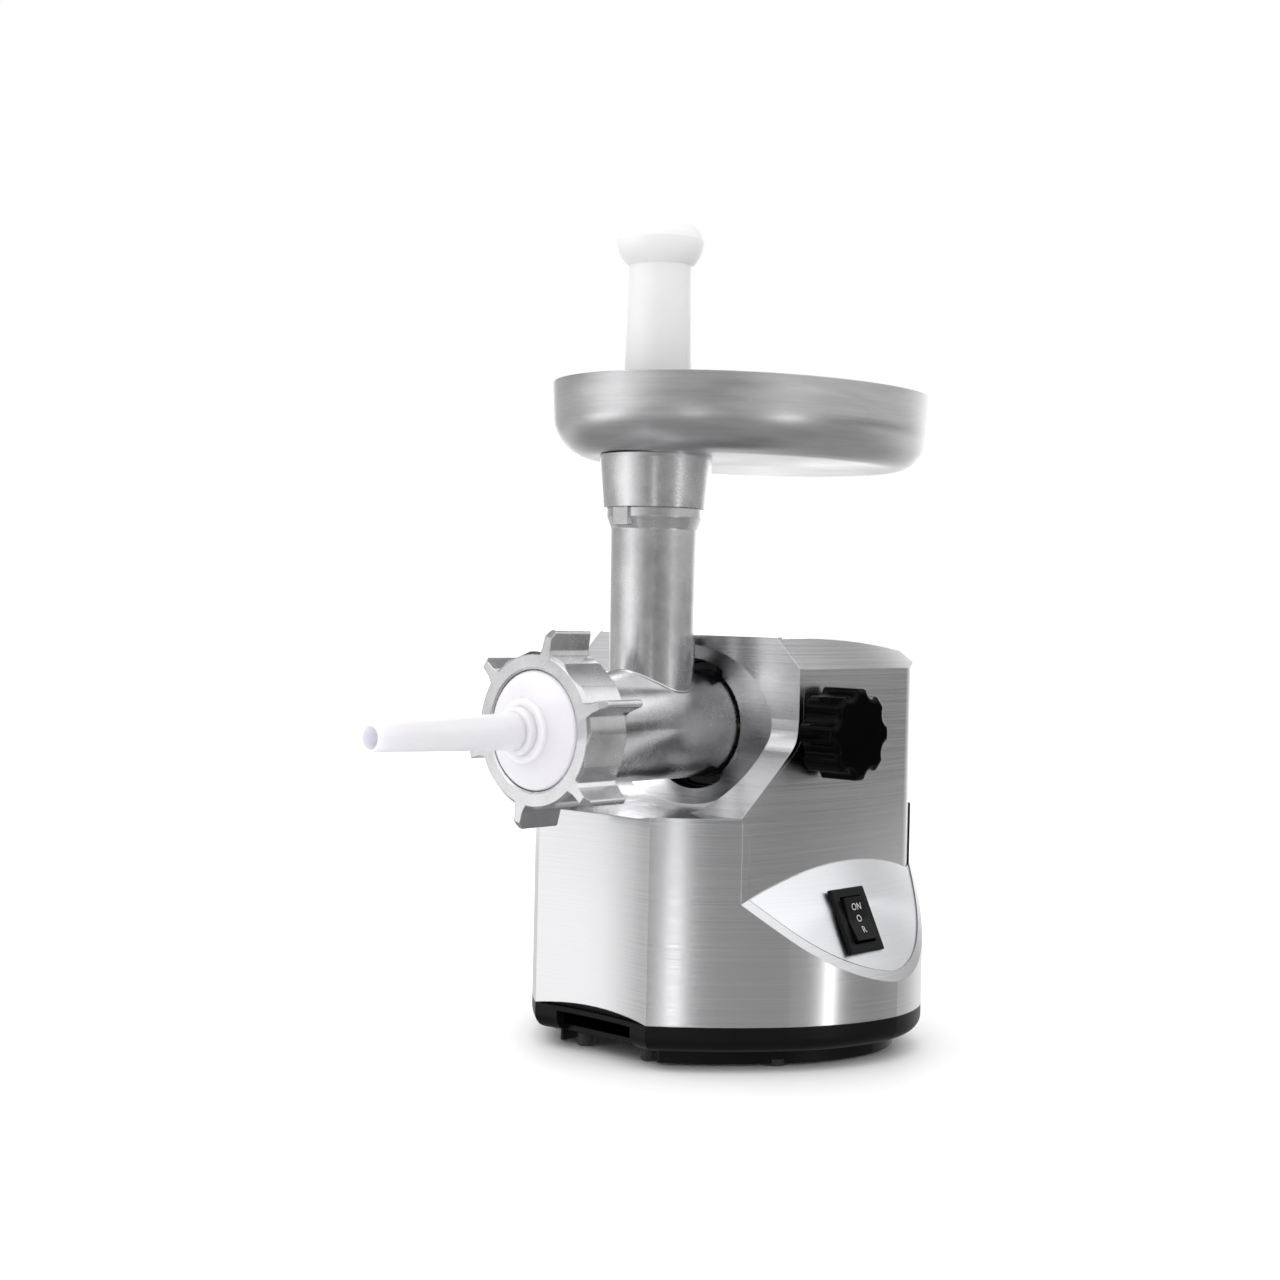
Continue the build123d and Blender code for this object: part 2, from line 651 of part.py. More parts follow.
def make_ring_nut():
    """Six-lugged ring nut that holds the plate and the nozzle."""
    y0, y1 = ring_front_y, ring_front_y + ring_depth
    ring = turned_y([
        (ring_opening, y0 + 0.8), (ring_opening + 0.8, y0), (ring_radius - 1.5, y0),
        (ring_radius, y0 + 1.5), (ring_radius, y1 - 1), (ring_radius - 1, y1), (ring_bore + 0.6, y1),
        (ring_bore, y1 - 0.6), (ring_bore, y0 + ring_lip), (ring_opening, y0 + ring_lip)])
    for k in range(ring_lug_count):
        t = math.radians(60 * k + 30 + lug_turn)
        ring -= rod_y(46, y0 - 1, y1 + 1, 82.0 * math.sin(t), axis_z + 82.0 * math.cos(t))
    lug_face = make_face(Polyline((-4.2, 34.6), (-2.4, 39.5), (-1.8, ring_lug_radius), (1.8, ring_lug_radius),
                                  (2.4, 39.5), (4.2, 34.6), close=True))
    front = Plane(origin=(0, y1, axis_z), x_dir=(1, 0, 0), z_dir=(0, -1, 0))
    lug = extrude(front * lug_face, ring_depth)
    lug = fillet(lug.edges().filter_by(Axis.Y).group_by(Axis.Z)[-1], 1.5)
    lug -= Pos(0, y0, axis_z + ring_lug_radius) * Rot(45, 0, 0) * Box(12, 5, 5)
    for k in range(ring_lug_count):
        ring += Pos(0, 0, axis_z) * Rot(0, 60 * k + lug_turn, 0) * Pos(0, 0, -axis_z) * lug
    return ring


def make_nozzle():
    """Sausage nozzle: flange held by the ring nut, cone, two stepped collars and a long tube."""
    y0 = barrel_front_y - 0.3
    outside = [
        (nozzle_flange_radius, y0), (nozzle_flange_radius, ring_front_y + ring_lip + 0.3),
        (28.4, ring_front_y + ring_lip + 0.3), (28.4, ring_front_y + 1.0), (27.4, ring_front_y),
        (15.4, -87.8), (15.0, -90.0), (11.6, -90.8), (11.2, -94.0), (9.0, -95.0), (8.7, -100),
        (nozzle_tip_radius, nozzle_tip_y)]
    inside = [(nozzle_tip_bore, nozzle_tip_y), (7.2, -97), (13.0, -87.4), (26.0, -80.3), (29.5, y0)]
    return turned_y(outside + inside)


# ---------------------------------------------------------------- tray and pusher

def tray_section(grow, z):
    outline = Ellipse(tray_half_width + grow, tray_half_length + grow)
    return Pos(0, tray_centre_y, z) * outline


def tray_bowl(grow, floor, top):
    """Oval bowl: steep wall, rounded below."""
    wall = loft([tray_section(grow - 2.0, floor), tray_section(grow, top)])
    return fillet(wall.edges().group_by(Axis.Z)[0], 21 + grow)


def make_tray_bowl():
    bowl = tray_bowl(0, tray_floor_z, tray_rim_z)
    bowl -= tray_bowl(-tray_wall, tray_floor_z + tray_wall, tray_rim_z + 1)
    return bowl - rod_z(tube_bore, tray_floor_z - 1, tray_floor_z + 5)


def make_tray_neck():
    """Collar under the tray that slips over the feed tube."""
    neck = turned_z([
        (neck_bore, neck_bottom_z), (neck_bottom_radius, neck_bottom_z), (neck_top_radius, tray_floor_z - 2),
        (neck_top_radius, tray_floor_z), (tube_bore, tray_floor_z), (tube_bore, tube_top_z + 0.4),
        (neck_bore, tube_top_z + 0.4)])
    return neck


def make_pusher():
    profile = [
        (0, ledge_z + 0.2), (pusher_radius - 2, ledge_z + 0.2), (pusher_radius, ledge_z + 2.2),
        (pusher_radius, axis_z + 180), (pusher_neck_radius, pusher_head_z - 1)]
    side = Line((0, 0, ledge_z + 0.2), (pusher_radius - 2, 0, ledge_z + 0.2))
    edges = [side]
    for a, b in zip(profile[1:], profile[2:]):
        edges.append(Line((a[0], 0, a[1]), (b[0], 0, b[1])))
    neck = (pusher_neck_radius, 0, pusher_head_z - 1)
    wide = (pusher_head_radius, 0, pusher_top_z - 10)
    edges.append(ThreePointArc(neck, (pusher_head_radius - 1.6, 0, pusher_head_z + 4.6), wide))
    edges.append(ThreePointArc(wide, (pusher_head_radius - 4.2, 0, pusher_top_z - 2.6),
                               (8.0, 0, pusher_top_z)))
    edges.append(Line((8.0, 0, pusher_top_z), (0, 0, pusher_top_z)))
    edges.append(Line((0, 0, pusher_top_z), (0, 0, ledge_z + 0.2)))
    return revolve(make_face(Curve() + edges), Axis.Z, 360)


# ---------------------------------------------------------------- gearbox

def involute(angle):
    return math.tan(angle) - angle


def gear_face(teeth, module, bore, first_tooth):
    """Spur gear outline with stub teeth; the angle of one tooth is given in degrees."""
    pitch_radius = module * teeth / 2
    alpha = math.radians(pressure_angle)
    base = pitch_radius * math.cos(alpha)
    root = pitch_radius - 1.15 * module
    tip = pitch_radius + 0.8 * module
    half_pitch = math.pi / (2 * teeth) - backlash / (2 * pitch_radius)
    start = max(base, root)
    flank = []
    for k in range(4):
        radius = start + (tip - start) * k / 3
        at = math.acos(min(1.0, base / radius))
        flank.append((radius, half_pitch + involute(alpha) - involute(at)))
    points = []
    for tooth in range(teeth):
        middle = math.radians(first_tooth) + 2 * math.pi * tooth / teeth
        outline = [(root, -flank[0][1])] if root < base else []
        outline += [(r, -a) for r, a in flank] + [(r, a) for r, a in reversed(flank)]
        outline += [(root, flank[0][1])] if root < base else []
        points += [(r * math.cos(middle + a), r * math.sin(middle + a)) for r, a in outline]
    face = make_face(Polyline(*points, close=True))
    return face - Circle(bore) if bore else face


def facing_front(y, z, x=0.0):
    return Plane(origin=(x, y, z), x_dir=(1, 0, 0), z_dir=(0, -1, 0))


def spur_gear(teeth, module, bore, first_tooth, y0, y1, z):
    return extrude(facing_front(y1, z) * gear_face(teeth, module, bore, first_tooth), y1 - y0)


def lightening_holes(radius, hole, count, y0, y1, z):
    holes = []
    for k in range(count):
        t = 2 * math.pi * k / count
        holes.append(rod_y(hole, y0 - 1, y1 + 1, radius * math.cos(t), z + radius * math.sin(t)))
    return holes


def make_output_gear():
    y0, y1 = output_gear_y
    gear = spur_gear(output_teeth, output_module, 9.0, -90 + 180 / output_teeth, y0, y1, axis_z)
    for hole in lightening_holes(19.5, 5, 6, y0, y1, axis_z):
        gear -= hole
    return gear


def make_output_shaft():
    """Hollow shaft with the square socket for the auger's tail, turning in two bushes."""
    y0, y1 = output_gear_y
    shaft = turned_y([(0, gearbox_front_y - 1), (11, gearbox_front_y - 1), (11, y0 - 0.5), (12.5, y0 - 0.5),
                      (12.5, y0), (9.0, y0), (9.0, y1), (5.5, y1), (5.5, gearbox_back_y - 1.0),
                      (0, gearbox_back_y - 1.0)])
    return shaft - box_between(-5, 5, 50, 76, axis_z - 5, axis_z + 5)


def make_idler_gear():
    y0, y1 = idler_gear_y
    gear = spur_gear(idler_teeth, motor_module, 6.0, -90 + 180 / idler_teeth, y0, y1, idler_z)
    for hole in lightening_holes(19, 6, 6, y0, y1, idler_z):
        gear -= hole
    return gear


def make_idler_pinion():
    """Small steel pinion with a hub that carries the idler gear."""
    y0 = output_gear_y[0] - 0.5
    y1 = idler_gear_y[1] + 0.5
    pinion = spur_gear(idler_pinion_teeth, output_module, 0, 90, y0, idler_gear_y[0], idler_z)
    hub = rod_y(6.0, idler_gear_y[0], y1, z=idler_z)
    return pinion + hub - rod_y(3.0 + running_gap, y0 - 1, y1 + 1, z=idler_z)


def make_idler_axle():
    y0, y1 = gearbox_front_y, gearbox_back_y
    return rod_y(3.0, y0, y1, z=idler_z)


def make_motor_pinion():
    y0, y1 = idler_gear_y[0] - 1, idler_gear_y[1] + 1
    return spur_gear(motor_teeth, motor_module, 2.0, 90, y0, y1, motor_z)


def gearbox_outline(grow):
    rings = [(axis_z, 36.5), (idler_z, 36.5), (motor_z, 15.0)]
    edges = [(Pos(0, z) * Circle(r + grow)).edge() for z, r in rings]
    return make_hull(edges)


def gearbox_prism(grow, y0, y1):
    return extrude(facing_front(y1, 0) * gearbox_outline(grow), y1 - y0)


def gearbox_screw_places():
    return [(x, z) for x, z in ((39, axis_z + 8), (-39, axis_z + 8), (22, motor_z - 3), (-22, motor_z - 3))]


def make_gearbox_case():
    """Cast case behind the gears, with the rear bushes' seats and two pairs of feet."""
    y0 = gearbox_front_y + gearbox_wall
    inner = gearbox_prism(0, y0, gearbox_back_y - gearbox_wall)
    case = gearbox_prism(3.0, y0, gearbox_back_y)
    for x, z in gearbox_screw_places():
        case += rod_y(5, y0, gearbox_back_y, x, z)
    feet = None
    for x, y in gearbox_feet():
        if y > (gearbox_front_y + gearbox_back_y) / 2:
            leg = box_between(x - 8, x + 8, y - 4, y + 8, gearbox_foot_z, gearbox_foot_z + 4)
            leg += box_between(x - 3, x + 3, y + 4, y + 8, gearbox_foot_z, 100)
            feet = leg if feet is None else feet + leg
    feet += box_between(-49, 49, gearbox_back_y - 4, gearbox_back_y, 88, 104)
    case = case + feet - inner
    case -= rod_y(8.0, gearbox_back_y - 6, gearbox_back_y - 1, z=axis_z)
    case -= rod_y(3.0, y0, gearbox_back_y + 1, z=idler_z)
    for x, z in gearbox_screw_places():
        case -= rod_y(1.6, y0 - 1, y0 + 12, x, z)
    return case


def make_gearbox_cover():
    """Front plate of the gearbox, which also carries the motor and the bayonet collar."""
    y0, y1 = gearbox_front_y, gearbox_front_y + gearbox_wall
    cover = gearbox_prism(3.0, y0, y1)
    for x, z in gearbox_screw_places():
        cover += rod_y(5, y0, y1, x, z)
    feet = None
    for x, y in gearbox_feet():
        if y < (gearbox_front_y + gearbox_back_y) / 2:
            leg = box_between(x - 8, x + 8, y0, y + 8, gearbox_foot_z, gearbox_foot_z + 4)
            leg += box_between(x - 3, x + 3, y0, y1, gearbox_foot_z, 100)
            feet = leg if feet is None else feet + leg
    cover = cover + feet + box_between(-49, 49, y0, y1, 88, 104)
    cover -= rod_y(13.5, y0 - 1, y1 + 1, z=axis_z)
    cover -= rod_y(3.0, y0 - 1, y1 + 1, z=idler_z)
    cover -= rod_y(bearing_radius + 1, y0 - 1, y1 + 1, z=motor_z)
    for x, z in gearbox_screw_places():
        cover -= rod_y(2.2, y0 - 1, y1 + 1, x, z)
    return cover


def bush(inner, outer, y0, y1, z):
    return rod_y(outer, y0, y1, z=z) - rod_y(inner, y0 - 1, y1 + 1, z=z)


def make_output_bushes():
    y0, y1 = gearbox_front_y, gearbox_front_y + gearbox_wall
    front = bush(11 + running_gap, 13.5, y0, y1, axis_z)
    rear = bush(5.5 + running_gap, 8.0, gearbox_back_y - 6, gearbox_back_y - 1, axis_z)
    return solids_of(front, rear)


def make_auger_bush():
    return bush(7 + running_gap, 22.0, 36.0, 44.0, axis_z)


def make_gearbox_screws():
    screws = []
    for x, z in gearbox_screw_places():
        y0 = gearbox_front_y
        screw = rod_y(1.6, y0, y0 + gearbox_wall + 10, x, z) + rod_y(3.4, y0 - 2.4, y0, x, z)
        screws.append(screw - rod_y(1.4, y0 - 3, y0 - 1.0, x, z))
    return solids_of(*screws)


# ---------------------------------------------------------------- motor

def make_rotor_shaft():
    rear = idler_gear_y[1] + 1
    return rod_y(shaft_radius, motor_front_y + 2, 72, z=motor_z) + rod_y(2.0, 72, rear, z=motor_z)


def make_armature_core():
    y0, y1 = core_y
    core = bush(shaft_radius, armature_radius, y0, y1, motor_z)
    for k in range(12):
        t = 2 * math.pi * k / 12
        slot = rod_y(2.4, y0 - 1, y1 + 1, 17.2 * math.cos(t), motor_z + 17.2 * math.sin(t))
        mouth = box_between(17, 22, y0 - 1, y1 + 1, -0.8, 0.8)
        core -= slot + Pos(0, 0, motor_z) * Rot(0, -math.degrees(t), 0) * mouth
    return core


def make_armature_windings():
    ends = []
    front, rear = core_y
    for y0, y1, y2 in ((front - 8, front - 6, front), (rear + 8, rear + 6, rear)):
        ends.append(turned_y([(shaft_radius + 0.5, y0), (14, y0), (18.5, y1), (18.5, y2),
                              (shaft_radius + 0.5, y2)], z=motor_z))
    return solids_of(*ends)


def make_commutator():
    y0, y1 = core_y[0] - 21, core_y[0] - 9
    ring = bush(shaft_radius, 10, y0, y1, motor_z)
    for k in range(24):
        turn = Pos(0, 0, motor_z) * Rot(0, 15 * k, 0)
        ring -= turn * box_between(9.2, 10.5, y0 - 1, y1 - 1.5, -0.3, 0.3)
    return ring


def make_cooling_fan():
    """Radial fan between the armature and the gearbox."""
    y0, y1 = core_y[1] + 9, core_y[1] + 15
    fan = bush(shaft_radius, fan_radius, y1 - 1.6, y1, motor_z) + bush(shaft_radius, 8, y0, y1, motor_z)
    for k in range(9):
        turn = Pos(0, 0, motor_z) * Rot(0, 40 * k, 0)
        fan += turn * Pos(15, (y0 + y1) / 2, 0) * Rot(0, 25, 0) * Box(18, y1 - y0, 1.2)
    return fan & bush(shaft_radius, fan_radius, y0, y1, motor_z)


def make_stator_core():
    y0, y1 = core_y
    block = box_between(-38, 38, y0, y1, motor_z - stator_half_height, motor_z + stator_half_height)
    block = chamfer(block.edges().filter_by(Axis.Y), 8)
    block -= rod_y(stator_bore, y0 - 1, y1 + 1, z=motor_z)
    for sign in (-1, 1):
        window = box_between(-30, 30, y0 - 1, y1 + 1, motor_z + sign * 19 - 6, motor_z + sign * 19 + 6)
        block -= window - box_between(-17, 17, y0 - 2, y1 + 2, motor_z - 50, motor_z + 50)
    for x, z in motor_screw_places():
        block -= rod_y(2.2, y0 - 1, y1 + 1, x, z)
    return block


def motor_screw_places():
    return [(30.5, motor_z), (-30.5, motor_z)]


def make_field_coils():
    """Two copper field windings that wrap the stator's poles."""
    coils = []
    for sign in (-1, 1):
        z = motor_z + sign * 19
        outer = box_between(-29.5, 29.5, core_y[0] - 7, core_y[1] + 7, z - 5.5, z + 5.5)
        inner = box_between(-17.5, 17.5, core_y[0] - 0.3, core_y[1] + 0.3, z - 9, z + 9)
        ring = outer - inner - rod_y(stator_bore + 0.5, core_y[0] - 9, core_y[1] + 9, z=motor_z)
        coils.append(largest(ring))
    return solids_of(*coils)


def bracket(y0, y1, seat_y):
    plate = box_between(-36, 36, y0, y1, motor_z - 11, motor_z + 11)
    plate = fillet(plate.edges().filter_by(Axis.Y), 6)
    plate += rod_y(bearing_radius + 3, seat_y[0], seat_y[1], z=motor_z)
    plate -= rod_y(bearing_radius, seat_y[0] - 9, seat_y[1] + 9, z=motor_z)
    for x, z in motor_screw_places():
        plate -= rod_y(2.2, y0 - 9, y1 + 9, x, z)
    return plate


def make_front_bracket():
    """Front bearing bridge, standing off the stator on two posts."""
    y0 = motor_front_y
    body = bracket(y0, y0 + 3, (y0, y0 + 7))
    for x, z in motor_screw_places():
        body += rod_y(5, y0 + 3, core_y[0], x, z) - rod_y(2.2, y0, core_y[0] + 1, x, z)
    return body


def make_rear_spacers():
    """Two posts between the stator and the gearbox's front plate."""
    posts = []
    for x, z in motor_screw_places():
        post = rod_y(5, core_y[1], gearbox_front_y, x, z)
        posts.append(post - rod_y(2.2, core_y[1] - 1, gearbox_front_y + 1, x, z))
    return solids_of(*posts)


def make_motor_bearings():
    bore = shaft_radius + running_gap
    front = bush(bore, bearing_radius, motor_front_y + 3, motor_front_y + 9, motor_z)
    rear = bush(bore, bearing_radius + 1, gearbox_front_y - 2, gearbox_front_y + 4, motor_z)
    return solids_of(front, rear)


def make_motor_screws():
    screws = []
    for x, z in motor_screw_places():
        y0 = motor_front_y
        screws.append(rod_y(2.0, y0, gearbox_front_y - 1, x, z) + rod_y(4, y0 - 2.6, y0, x, z))
    return solids_of(*screws)


def make_brush_holders():
    holders = []
    y = core_y[0] - 15
    for sign in (-1, 1):
        tube = box_between(12, 24, y - 5, y + 5, motor_z - 5, motor_z + 5)
        tube += box_between(20, 24, motor_front_y + 3, y + 5, motor_z - 5, motor_z + 5)
        tube -= box_between(11, 30, y - 3.2, y + 3.2, motor_z - 3.2, motor_z + 3.2)
        holders.append(tube if sign > 0 else mirror(tube, Plane.YZ))
    return solids_of(*holders)


def make_carbon_brushes():
    y = core_y[0] - 15
    brush = box_between(10.3, 20, y - 3, y + 3, motor_z - 3, motor_z + 3)
    return solids_of(brush, mirror(brush, Plane.YZ))


def make_brush_springs():
    """Flat coil springs behind the brushes, drawn as a stack of rings on one backbone."""
    y = core_y[0] - 15
    shape = None
    for k in range(4):
        ring = rod_x(2.6, 20.0 + k * 0.95, 20.5 + k * 0.95, y, motor_z) - rod_x(1.7, 19, 26, y, motor_z)
        shape = ring if shape is None else shape + ring
    shape += box_between(20.0, 23.35, y - 0.3, y + 0.3, motor_z + 1.8, motor_z + 2.5)
    return solids_of(shape, mirror(shape, Plane.YZ))


# ---------------------------------------------------------------- wiring parts and fasteners

def make_terminal_block():
    block = box_between(-70, -42, 104, 118, tray_bottom_z + 3, 30)
    for k in range(3):
        block -= rod_z(2.4, 24, 40, -64 + k * 8, 111)
        block -= rod_y(1.8, 100, 120, -64 + k * 8, 21)
    return block


def make_capacitor():
    body = box_between(44, 70, 8, 22, tray_bottom_z + 3, 34)
    return fillet(body.edges().filter_by(Axis.Z), 1.5)


def make_thermal_cutout():
    """Bimetal cut-out clipped to the stator's flat side."""
    x0 = 38.0
    clip = box_between(x0 + 6, x0 + 8, 10, 30, motor_z + 5, motor_z + 11)
    return rod_x(7, x0, x0 + 6, 20, motor_z + 8) + clip


def make_base_screws():
    """Screws through the bottom plate's bosses into the base."""
    screws = []
    for x, y in base_screw_places():
        head = rod_z(3.2, plinth_z + 0.4, plinth_z + 2.4, x, y)
        head -= box_between(x - 2.4, x + 2.4, y - 0.5, y + 0.5, plinth_z, plinth_z + 1.2)
        screws.append(head + rod_z(1.6, plinth_z + 2.4, tray_bottom_z + 3, x, y))
    return solids_of(*screws)


def make_hood_screws():
    """Two pan-head screws in the hood's rear wall."""
    screws = []
    for x in hood_screw_x:
        head = rod_y(3.4, rear_y, rear_y + 1.8, x, hood_screw_z)
        head = chamfer(head.edges().group_by(Axis.Y)[-1], 0.7)
        head -= box_between(x - 2.2, x + 2.2, rear_y + 0.9, rear_y + 3, hood_screw_z - 0.5,
                            hood_screw_z + 0.5)
        screws.append(head + rod_y(1.6, rear_y - 9, rear_y, x, hood_screw_z))
    return solids_of(*screws)


# ---------------------------------------------------------------- write the parts

makers = [
    make_body_shell, make_rear_hood, make_control_label, make_base_tray, make_bottom_plate,
    make_rubber_feet, make_vent_grille, make_cable_gland, make_hood_screws, make_base_screws,
    make_switch_body, make_switch_terminals, make_switch_rocker, make_switch_pin,
    make_socket_collar, make_lock_knob, make_clamp_screw, make_clamp_pad,
    make_head_body, make_auger_bush, make_auger, make_auger_tang, make_blade, make_mincing_plate,
    make_ring_nut, make_nozzle, make_tray_bowl, make_tray_neck, make_pusher,
    make_gearbox_case, make_gearbox_cover, make_gearbox_screws, make_output_bushes,
    make_output_gear, make_output_shaft, make_idler_gear, make_idler_pinion, make_idler_axle,
    make_motor_pinion, make_rotor_shaft, make_armature_core, make_armature_windings,
    make_commutator, make_cooling_fan, make_stator_core, make_field_coils, make_front_bracket,
    make_rear_spacers, make_motor_bearings, make_motor_screws, make_brush_holders,
    make_carbon_brushes, make_brush_springs, make_terminal_block, make_capacitor,
    make_thermal_cutout,
]

def placed(shape):
    """The node's solids, moved into the written frame."""
    solids = [Pos(0, origin_shift, 0) * solid for solid in shape.solids()]
    return solids[0] if len(solids) == 1 else Compound(children=solids)


for maker in makers:
    name = maker.__name__.removeprefix("make_")
    shape = placed(maker())
    export_step(shape, f"parts/{name}.step")
    print(name, round(shape.volume), shape.is_valid)
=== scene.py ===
import json
import math

import bmesh
import bpy
from mathutils import Matrix, Vector


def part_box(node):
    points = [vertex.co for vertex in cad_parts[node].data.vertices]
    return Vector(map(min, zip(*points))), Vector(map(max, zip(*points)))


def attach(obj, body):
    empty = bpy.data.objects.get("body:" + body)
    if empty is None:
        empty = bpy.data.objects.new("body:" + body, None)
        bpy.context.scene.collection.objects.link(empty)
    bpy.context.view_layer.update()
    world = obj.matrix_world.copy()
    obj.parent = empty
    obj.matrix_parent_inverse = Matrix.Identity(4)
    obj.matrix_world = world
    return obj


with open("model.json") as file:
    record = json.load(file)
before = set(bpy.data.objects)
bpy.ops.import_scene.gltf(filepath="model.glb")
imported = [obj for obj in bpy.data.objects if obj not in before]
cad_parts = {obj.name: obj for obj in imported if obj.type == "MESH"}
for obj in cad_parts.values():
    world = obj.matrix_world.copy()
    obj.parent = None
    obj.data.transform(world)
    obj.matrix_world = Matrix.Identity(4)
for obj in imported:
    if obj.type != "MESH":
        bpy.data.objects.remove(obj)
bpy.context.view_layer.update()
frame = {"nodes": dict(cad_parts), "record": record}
nodes = frame["nodes"]
record = frame["record"]
scene = bpy.context.scene
MM = 0.001


# ------------------------------------------------------------------ shader helpers

def new_material(name):
    material = bpy.data.materials.new(name)
    material.use_nodes = True
    tree = material.node_tree
    return material, tree, tree.nodes["Principled BSDF"]


def plug(tree, source, target):
    tree.links.new(source, target)


def object_coordinates(tree, scale=(1, 1, 1)):
    coords = tree.nodes.new("ShaderNodeTexCoord")
    mapping = tree.nodes.new("ShaderNodeMapping")
    mapping.inputs["Scale"].default_value = scale
    plug(tree, coords.outputs["Object"], mapping.inputs["Vector"])
    return mapping.outputs["Vector"]


def noise(tree, vector, scale=1.0, detail=3.0, roughness=0.5):
    node = tree.nodes.new("ShaderNodeTexNoise")
    node.inputs["Scale"].default_value = scale
    node.inputs["Detail"].default_value = detail
    node.inputs["Roughness"].default_value = roughness
    plug(tree, vector, node.inputs["Vector"])
    return node.outputs["Fac"]


def spread(tree, value, low, high, source=(0.3, 0.7)):
    """Maps a pattern's middle range to the given numbers."""
    node = tree.nodes.new("ShaderNodeMapRange")
    node.inputs["From Min"].default_value = source[0]
    node.inputs["From Max"].default_value = source[1]
    node.inputs["To Min"].default_value = low
    node.inputs["To Max"].default_value = high
    plug(tree, value, node.inputs["Value"])
    return node.outputs["Result"]


def two_colours(tree, value, dark, light, source=(0.3, 0.7)):
    ramp = tree.nodes.new("ShaderNodeValToRGB")
    ramp.color_ramp.elements[0].position = source[0]
    ramp.color_ramp.elements[1].position = source[1]
    ramp.color_ramp.elements[0].color = (*dark, 1)
    ramp.color_ramp.elements[1].color = (*light, 1)
    plug(tree, value, ramp.inputs["Fac"])
    return ramp.outputs["Color"]


def blended(tree, factor, first, second):
    node = tree.nodes.new("ShaderNodeMix")
    node.data_type = "FLOAT"
    plug(tree, factor, node.inputs[0])
    plug(tree, first, node.inputs[2])
    plug(tree, second, node.inputs[3])
    return node.outputs[0]


def towards(tree, factor, value, goal):
    """Moves a pattern towards one number as the factor rises to 1."""
    node = tree.nodes.new("ShaderNodeMix")
    node.data_type = "FLOAT"
    node.inputs[3].default_value = goal
    plug(tree, factor, node.inputs[0])
    plug(tree, value, node.inputs[2])
    return node.outputs[0]


def math_node(tree, operation, *values):
    node = tree.nodes.new("ShaderNodeMath")
    node.operation = operation
    for socket, value in zip(node.inputs, values):
        if isinstance(value, (int, float)):
            socket.default_value = value
        else:
            plug(tree, value, socket)
    return node.outputs[0]


def rounded_normal(tree, radius):
    """Normal that reads as a small radius on the edges."""
    node = tree.nodes.new("ShaderNodeBevel")
    node.samples = 4
    node.inputs["Radius"].default_value = radius
    return node.outputs["Normal"]


def bump(tree, height, strength, distance, normal=None):
    node = tree.nodes.new("ShaderNodeBump")
    node.inputs["Strength"].default_value = strength
    node.inputs["Distance"].default_value = distance
    plug(tree, height, node.inputs["Height"])
    if normal is not None:
        plug(tree, normal, node.inputs["Normal"])
    return node.outputs["Normal"]


# ------------------------------------------------------------------ materials

STEEL_CLOUD_SHARE = 0.25    # how much of each tone comes from the slow or the fine pattern
CAST_GRAIN_SHARE = 0.45
TRAY_LINE_SHARE = 0.4
COAT_ROUGHNESS = 0.08


def steepness(tree):
    """0 on walls and 1 on level surfaces."""
    geometry = tree.nodes.new("ShaderNodeNewGeometry")
    parts = tree.nodes.new("ShaderNodeSeparateXYZ")
    plug(tree, geometry.outputs["True Normal"], parts.inputs["Vector"])
    return spread(tree, math_node(tree, "ABSOLUTE", parts.outputs["Z"]), 0.0, 1.0, (0.72, 0.9))


def brushed_steel(name, dark, light, rough, strength=0.25, edge=0.5 * MM):
    """Long fine scratches that run level round the walls and across the roof."""
    material, tree, shader = new_material(name)
    level = noise(tree, object_coordinates(tree, (10, 10, 2600)), 1.0, 3.0, 0.65)
    across = noise(tree, object_coordinates(tree, (10, 2600, 10)), 1.0, 3.0, 0.65)
    grain = blended(tree, steepness(tree), level, across)
    cloud = noise(tree, object_coordinates(tree), 14.0, 2.0)
    tone = math_node(tree, "MULTIPLY_ADD", cloud, STEEL_CLOUD_SHARE, spread(tree, grain, 0.1, 0.8))
    plug(tree, two_colours(tree, tone, dark, light, (0.1, 1.0)), shader.inputs["Base Color"])
    plug(tree, spread(tree, grain, rough[0], rough[1]), shader.inputs["Roughness"])
    shader.inputs["Metallic"].default_value = 1.0
    shader.inputs["Anisotropic"].default_value = 0.6
    shader.inputs["Anisotropic Rotation"].default_value = 0.25
    tangent = tree.nodes.new("ShaderNodeTangent")
    tangent.direction_type = "RADIAL"
    tangent.axis = "Z"
    plug(tree, tangent.outputs["Tangent"], shader.inputs["Tangent"])
    plug(tree, bump(tree, grain, strength, 0.06 * MM, rounded_normal(tree, edge)), shader.inputs["Normal"])
    return material


def cast_metal(name, dark, light, rough, grain_scale=900.0, strength=0.3, edge=0.8 * MM):
    """Tumbled casting: fine sparkle over slow cloudy changes."""
    material, tree, shader = new_material(name)
    fine = noise(tree, object_coordinates(tree), grain_scale, 3.0, 0.7)
    cloud = noise(tree, object_coordinates(tree), 45.0, 4.0, 0.6)
    slow = spread(tree, cloud, 0.0, 1 - CAST_GRAIN_SHARE)
    mixed = math_node(tree, "MULTIPLY_ADD", fine, CAST_GRAIN_SHARE, slow)
    plug(tree, two_colours(tree, mixed, dark, light, (0.1, 0.9)), shader.inputs["Base Color"])
    plug(tree, spread(tree, mixed, rough[0], rough[1], (0.1, 0.9)), shader.inputs["Roughness"])
    shader.inputs["Metallic"].default_value = 1.0
    plug(tree, bump(tree, fine, strength, 0.08 * MM, rounded_normal(tree, edge)), shader.inputs["Normal"])
    return material


